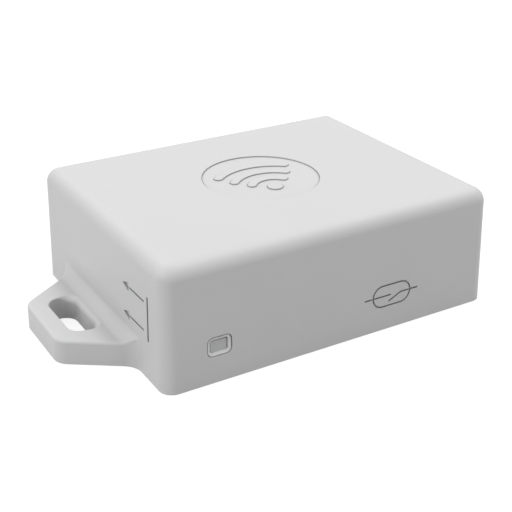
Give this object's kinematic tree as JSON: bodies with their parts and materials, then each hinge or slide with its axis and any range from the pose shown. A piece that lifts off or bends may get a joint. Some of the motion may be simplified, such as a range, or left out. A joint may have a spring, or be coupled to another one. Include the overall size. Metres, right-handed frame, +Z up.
{
  "type": "wireless sensor tag",
  "caption": "Sealed battery-powered wireless sensor: drafted plastic cap with a slotted hanging tab and a status window, closed by a screwed base cover.",
  "frame": {"origin": "centre of the base face, on which the sensor rests or is stuck", "axes": "+Z up out of the base, +X along the length and away from the hanging tab, -Y out of the wall with the status window"},
  "size_m": [0.0957, 0.0648, 0.0275],
  "materials": {
    "cap_plastic": "fine satin moulded plastic, off-white",
    "window_plastic": "milky, lets lamp light through",
    "cover_plastic": "fine satin moulded plastic, off-white",
    "foam": "soft closed-cell foam",
    "seal_rubber": "black sealing rubber",
    "screw_steel": "bright stainless steel",
    "brass": "turned brass",
    "board_laminate": "green solder mask over laminate",
    "radio_laminate": "blue solder mask over laminate",
    "cradle_plastic": "black moulded plastic",
    "contact_metal": "nickel plated",
    "shield_metal": "tinned steel",
    "chip_resin": "black moulding resin",
    "lamp_resin": "clear resin",
    "reed_glass": "green tinted glass",
    "button_plastic": "red moulded plastic",
    "can_aluminium": "drawn can",
    "ceramic": "fired ceramic",
    "cell_sleeve": "plain printed sleeve over a steel can"
  },
  "bodies": {
    "base_assembly": {"base_cover": "cover_plastic", "cover_seal": "seal_rubber", "cover_screws": "screw_steel", "main_board": "board_laminate", "board_screws": "screw_steel", "battery_holder": "cradle_plastic", "holder_contacts": "contact_metal", "holder_springs": "contact_metal", "radio_board": "radio_laminate", "radio_shield": "shield_metal", "antenna": "shield_metal", "microcontroller_chip": "chip_resin", "accelerometer_chip": "chip_resin", "temperature_sensor": "chip_resin", "clock_crystal": "shield_metal", "status_led": "lamp_resin", "reed_glass": "reed_glass", "reed_blades": "contact_metal", "button_body": "cradle_plastic", "buffer_capacitor": "can_aluminium", "header_body": "cradle_plastic", "header_pins": "brass", "passive_chips": "ceramic"},
    "housing": {"housing_shell": "cap_plastic", "status_window": "window_plastic", "cell_foam_pad": "foam"},
    "cell_front": {"cell_front_can": "cell_sleeve", "cell_front_cap": "contact_metal"},
    "cell_rear": {"cell_rear_can": "cell_sleeve", "cell_rear_cap": "contact_metal"},
    "button": {"button_plunger": "button_plastic"}
  },
  "joints": [
    {"name": "housing_lift", "type": "slide", "parent": "base_assembly", "child": "housing", "axis": [0, 0, 1], "range_m": [0, 0.06]},
    {"name": "cell_front_lift", "type": "slide", "parent": "base_assembly", "child": "cell_front", "axis": [0, 0, 1], "range_m": [0, 0.024]},
    {"name": "cell_rear_lift", "type": "slide", "parent": "base_assembly", "child": "cell_rear", "axis": [0, 0, 1], "range_m": [0, 0.024]},
    {"name": "button_press", "type": "slide", "parent": "base_assembly", "child": "button", "axis": [0, 0, -1], "range_m": [0, 0.00025], "stiffness_N_per_m": 600}
  ],
  "couplings": [
    {"joint": "cell_front_lift", "follows": "housing_lift", "ratio": 0.4},
    {"joint": "cell_rear_lift", "follows": "housing_lift", "ratio": 0.4}
  ]
}
